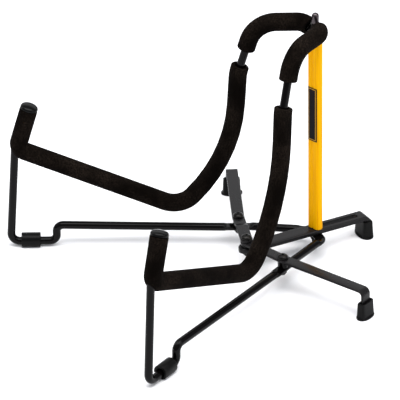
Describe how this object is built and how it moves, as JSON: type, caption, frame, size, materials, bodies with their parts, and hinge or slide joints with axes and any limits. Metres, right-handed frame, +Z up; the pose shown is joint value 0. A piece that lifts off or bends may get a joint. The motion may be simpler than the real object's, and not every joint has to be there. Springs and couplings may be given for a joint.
{
  "type": "guitar stand",
  "caption": "Low folding guitar stand: two foam-sleeved bent rod frames on a central post, with hinged rear legs and a sliding centre bar.",
  "frame": {"origin": "on the floor, in the middle of the open stand's footprint", "axes": "+Z up, -Y the front, where the guitar faces, +X to the right of someone who looks along +Y"},
  "size_m": [0.3612, 0.385, 0.3059],
  "materials": {
    "rod_coat": "satin black powder coat on round steel rod",
    "bar_coat": "satin black powder coat on flat steel bar",
    "foam": "matt closed-cell foam sleeve",
    "rubber": "satin moulded black rubber",
    "post_paint": "satin yellow coat on extruded aluminium",
    "label_film": "plain black label with a thin yellow border",
    "zinc": "zinc plated",
    "nylon": "moulded black nylon"
  },
  "bodies": {
    "spine": {"post": "post_paint", "post_label": "label_film", "post_plug_bottom": "nylon", "post_plug_top": "nylon", "tie_rod": "zinc", "top_washer": "rod_coat", "bottom_washer": "rod_coat", "bottom_nut": "rod_coat", "cap_nut": "rod_coat"},
    "right_frame": {"right_arm_rod": "rod_coat", "right_leg_rod": "rod_coat", "right_cradle_foam": "foam", "right_shoulder_foam": "foam", "right_lip_cap": "rubber", "right_foot_clip": "rubber", "right_pivot_spacer": "rod_coat", "right_pivot_bolt": "rod_coat", "right_pivot_nut": "rod_coat"},
    "left_frame": {"left_arm_rod": "rod_coat", "left_leg_rod": "rod_coat", "left_cradle_foam": "foam", "left_shoulder_foam": "foam", "left_lip_cap": "rubber", "left_foot_clip": "rubber", "left_pivot_spacer": "rod_coat", "left_pivot_bolt": "rod_coat", "left_pivot_nut": "rod_coat"},
    "right_rear_leg": {"right_rear_leg": "bar_coat", "right_boot": "rubber", "centre_bolt_middle": "rod_coat"},
    "left_rear_leg": {"left_rear_leg": "bar_coat", "left_boot": "rubber", "centre_bolt_head": "rod_coat"},
    "centre_slide": {"centre_bar": "bar_coat", "centre_boot": "rubber", "centre_spacer": "rod_coat", "centre_nut": "rod_coat", "centre_bolt_lower": "rod_coat"}
  },
  "joints": [
    {"name": "frame_fold", "type": "hinge", "parent": "spine", "child": "right_frame", "pos_m": [0, 0.1184, 0.15], "axis": [0, 0, -1], "range_deg": [0, 25]},
    {"name": "left_frame_fold", "type": "hinge", "parent": "spine", "child": "left_frame", "pos_m": [0, 0.1184, 0.15], "axis": [0, 0, 1], "range_deg": [0, 25]},
    {"name": "right_leg_fold", "type": "hinge", "parent": "right_frame", "child": "right_rear_leg", "pos_m": [0.05405, 0.0462, 0.0335], "axis": [0, 0, 1], "range_deg": [0, 77.58]},
    {"name": "left_leg_fold", "type": "hinge", "parent": "left_frame", "child": "left_rear_leg", "pos_m": [-0.05405, 0.0462, 0.0335], "axis": [0, 0, -1], "range_deg": [0, 77.58]},
    {"name": "centre_bar_slide", "type": "slide", "parent": "spine", "child": "centre_slide", "axis": [0, -1, 0], "range_m": [0, 0.0519]}
  ],
  "couplings": [
    {"joint": "left_frame_fold", "follows": "frame_fold", "ratio": 1},
    {"joint": "right_leg_fold", "follows": "frame_fold", "ratio": 3.1027},
    {"joint": "left_leg_fold", "follows": "frame_fold", "ratio": 3.1027},
    {"joint": "centre_bar_slide", "follows": "frame_fold", "m_per_rad": 0.11892}
  ]
}
